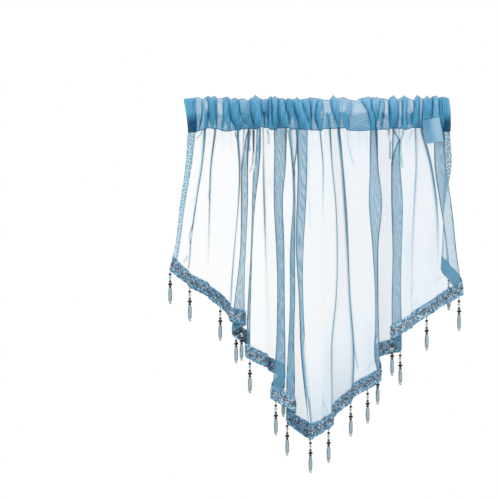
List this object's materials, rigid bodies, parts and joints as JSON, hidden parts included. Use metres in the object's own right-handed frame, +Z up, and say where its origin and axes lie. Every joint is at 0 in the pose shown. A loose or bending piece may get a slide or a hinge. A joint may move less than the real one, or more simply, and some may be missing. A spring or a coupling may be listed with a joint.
{
  "type": "window valance",
  "caption": "Sheer ascot window valance: gathered rod pocket, folded panel with a V-pointed lower edge, sequinned braid and hanging bead drops.",
  "frame": {"origin": "middle of the rod pocket's top edge", "axes": "+Z up, +X to the right as seen by a person facing the valance, and the front faces -Y"},
  "size_m": [0.4727, 0.033, 0.6022],
  "materials": {
    "pocket_voile": "sheer polyester voile, gathered in several layers",
    "voile": "sheer polyester voile with a soft sheen",
    "braid": "woven braid with ribbed borders and small sequins",
    "label_tape": "satin tape, blank",
    "beads": "dark faceted, clear and translucent blue-grey beads on thread"
  },
  "bodies": {
    "root": {"heading": "pocket_voile", "skirt": "voile", "trim": "braid", "label": "label_tape", "drop_01": "beads", "drop_02": "beads", "drop_03": "beads", "drop_04": "beads", "drop_05": "beads", "drop_06": "beads", "drop_07": "beads", "drop_08": "beads", "drop_09": "beads", "drop_10": "beads", "drop_11": "beads", "drop_12": "beads", "drop_13": "beads", "drop_14": "beads", "drop_15": "beads", "drop_16": "beads", "drop_17": "beads", "drop_18": "beads", "drop_19": "beads"}
  },
  "joints": []
}
